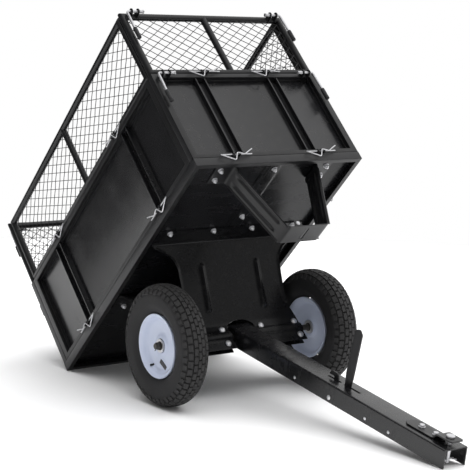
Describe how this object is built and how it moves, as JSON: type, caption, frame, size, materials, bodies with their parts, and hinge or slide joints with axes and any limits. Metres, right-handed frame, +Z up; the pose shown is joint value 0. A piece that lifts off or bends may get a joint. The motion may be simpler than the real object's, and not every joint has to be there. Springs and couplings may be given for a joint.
{
  "type": "tow behind cart",
  "caption": "Tipping steel utility cart with hinged sheet and mesh walls on a two-wheel axle, towed by a channel drawbar with a foot release and a pin hitch.",
  "frame": {"origin": "on the ground below the centre of the bounding box", "axes": "+X to the right, -Y towards the drawbar (front), +Z up"},
  "size_m": [0.579, 1.738, 1.0516],
  "materials": {
    "black_paint": "semi-gloss powder coat",
    "zinc": "bright zinc plate",
    "tyre_rubber": "matt black rubber",
    "rim_paint": "gloss pale grey-blue enamel"
  },
  "bodies": {
    "drawbar": {"drawbar": "black_paint", "hitch_strap": "black_paint", "strap_bolt_front": "zinc", "strap_bolt_rear": "zinc", "lever_pivot_rivet": "zinc", "lever_spring": "zinc"},
    "release_lever": {"release_lever": "black_paint"},
    "hitch_pin": {"hitch_pin": "zinc", "hitch_pin_clip": "zinc"},
    "bed": {"axle": "zinc", "axle_nut_left": "zinc", "axle_nut_right": "zinc", "floor_pan": "black_paint", "floor_stiffener": "black_paint", "front_saddle": "black_paint", "rear_saddle": "black_paint", "latch_frame": "black_paint", "saddle_bolt_left_inner_upper": "zinc", "saddle_bolt_left_inner_lower": "zinc", "saddle_bolt_left_outer_upper": "zinc", "saddle_bolt_left_outer_lower": "zinc", "saddle_bolt_right_inner_upper": "zinc", "saddle_bolt_right_inner_lower": "zinc", "saddle_bolt_right_outer_upper": "zinc", "saddle_bolt_right_outer_lower": "zinc", "front_lower_hinge_rod": "zinc", "rear_lower_hinge_rod": "zinc", "left_lower_hinge_rod": "zinc", "right_lower_hinge_rod": "zinc"},
    "wheel_left": {"tyre_left": "tyre_rubber", "rim_left": "rim_paint", "hub_left": "zinc"},
    "wheel_right": {"tyre_right": "tyre_rubber", "rim_right": "rim_paint", "hub_right": "zinc"},
    "front_panel": {"front_panel": "black_paint", "front_upper_hinge_rod": "zinc"},
    "front_mesh": {"front_mesh_panel": "black_paint"},
    "front_lower_latch_left": {"front_lower_latch_left": "zinc"},
    "front_upper_latch_left": {"front_upper_latch_left": "zinc"},
    "front_lower_latch_right": {"front_lower_latch_right": "zinc"},
    "front_upper_latch_right": {"front_upper_latch_right": "zinc"},
    "rear_panel": {"rear_panel": "black_paint", "rear_upper_hinge_rod": "zinc"},
    "rear_mesh": {"rear_mesh_panel": "black_paint"},
    "rear_lower_latch_left": {"rear_lower_latch_left": "zinc"},
    "rear_upper_latch_left": {"rear_upper_latch_left": "zinc"},
    "rear_lower_latch_right": {"rear_lower_latch_right": "zinc"},
    "rear_upper_latch_right": {"rear_upper_latch_right": "zinc"},
    "left_panel": {"left_panel": "black_paint", "left_upper_hinge_rod": "zinc"},
    "left_mesh": {"left_mesh_panel": "black_paint"},
    "right_panel": {"right_panel": "black_paint", "right_upper_hinge_rod": "zinc"},
    "right_mesh": {"right_mesh_panel": "black_paint"}
  },
  "joints": [
    {"name": "bed_tilt", "type": "hinge", "parent": "drawbar", "child": "bed", "pos_m": [0, -0.0178, 0.165], "axis": [1, 0, 0], "range_deg": [0, 55.8]},
    {"name": "release_lever_pivot", "type": "hinge", "parent": "drawbar", "child": "release_lever", "pos_m": [0, -0.44103, 0.08279], "axis": [1, 0, 0], "range_deg": [0, 12], "stiffness_Nm_per_rad": 0.8, "springref_deg": -20.05},
    {"name": "hitch_pin_slide", "type": "slide", "parent": "drawbar", "child": "hitch_pin", "axis": [0, -0.1656, 0.9862], "range_m": [0, 0.03]},
    {"name": "wheel_left_spin", "type": "hinge", "parent": "bed", "child": "wheel_left", "pos_m": [-0.2515, -0.0178, 0.165], "axis": [1, 0, 0], "continuous": true},
    {"name": "wheel_right_spin", "type": "hinge", "parent": "bed", "child": "wheel_right", "pos_m": [0.2515, -0.0178, 0.165], "axis": [1, 0, 0], "continuous": true},
    {"name": "front_panel_hinge", "type": "hinge", "parent": "bed", "child": "front_panel", "pos_m": [0, -0.17023, 0.68186], "axis": [1, 0, 0], "range_deg": [0, 90]},
    {"name": "front_mesh_hinge", "type": "hinge", "parent": "front_panel", "child": "front_mesh", "pos_m": [0, 0.03453, 0.88863], "axis": [1, 0, 0], "range_deg": [0, 60]},
    {"name": "front_lower_latch_left_slide", "type": "slide", "parent": "front_panel", "child": "front_lower_latch_left", "axis": [-1, 0, 0], "range_m": [0, 0.03]},
    {"name": "front_upper_latch_left_slide", "type": "slide", "parent": "front_mesh", "child": "front_upper_latch_left", "axis": [-1, 0, 0], "range_m": [0, 0.03]},
    {"name": "front_lower_latch_right_slide", "type": "slide", "parent": "front_panel", "child": "front_lower_latch_right", "axis": [1, 0, 0], "range_m": [0, 0.03]},
    {"name": "front_upper_latch_right_slide", "type": "slide", "parent": "front_mesh", "child": "front_upper_latch_right", "axis": [1, 0, 0], "range_m": [0, 0.03]},
    {"name": "rear_panel_hinge", "type": "hinge", "parent": "bed", "child": "rear_panel", "pos_m": [0, 0.50266, 0.01551], "axis": [-1, 0, 0], "range_deg": [0, 90]},
    {"name": "rear_mesh_hinge", "type": "hinge", "parent": "rear_panel", "child": "rear_mesh", "pos_m": [0, 0.70742, 0.22229], "axis": [-1, 0, 0], "range_deg": [0, 90]},
    {"name": "rear_lower_latch_left_slide", "type": "slide", "parent": "rear_panel", "child": "rear_lower_latch_left", "axis": [-1, 0, 0], "range_m": [0, 0.03]},
    {"name": "rear_upper_latch_left_slide", "type": "slide", "parent": "rear_mesh", "child": "rear_upper_latch_left", "axis": [-1, 0, 0], "range_m": [0, 0.03]},
    {"name": "rear_lower_latch_right_slide", "type": "slide", "parent": "rear_panel", "child": "rear_lower_latch_right", "axis": [1, 0, 0], "range_m": [0, 0.03]},
    {"name": "rear_upper_latch_right_slide", "type": "slide", "parent": "rear_mesh", "child": "rear_upper_latch_right", "axis": [1, 0, 0], "range_m": [0, 0.03]},
    {"name": "left_panel_hinge", "type": "hinge", "parent": "bed", "child": "left_panel", "pos_m": [-0.279, 0.16621, 0.34869], "axis": [0, -0.7106, 0.7036], "range_deg": [0, 90]},
    {"name": "left_mesh_hinge", "type": "hinge", "parent": "left_panel", "child": "left_mesh", "pos_m": [-0.279, 0.37097, 0.55546], "axis": [0, -0.7106, 0.7036], "range_deg": [0, 90]},
    {"name": "right_panel_hinge", "type": "hinge", "parent": "bed", "child": "right_panel", "pos_m": [0.279, 0.16621, 0.34869], "axis": [0, 0.7106, -0.7036], "range_deg": [0, 90]},
    {"name": "right_mesh_hinge", "type": "hinge", "parent": "right_panel", "child": "right_mesh", "pos_m": [0.279, 0.37097, 0.55546], "axis": [0, 0.7106, -0.7036], "range_deg": [0, 90]}
  ]
}
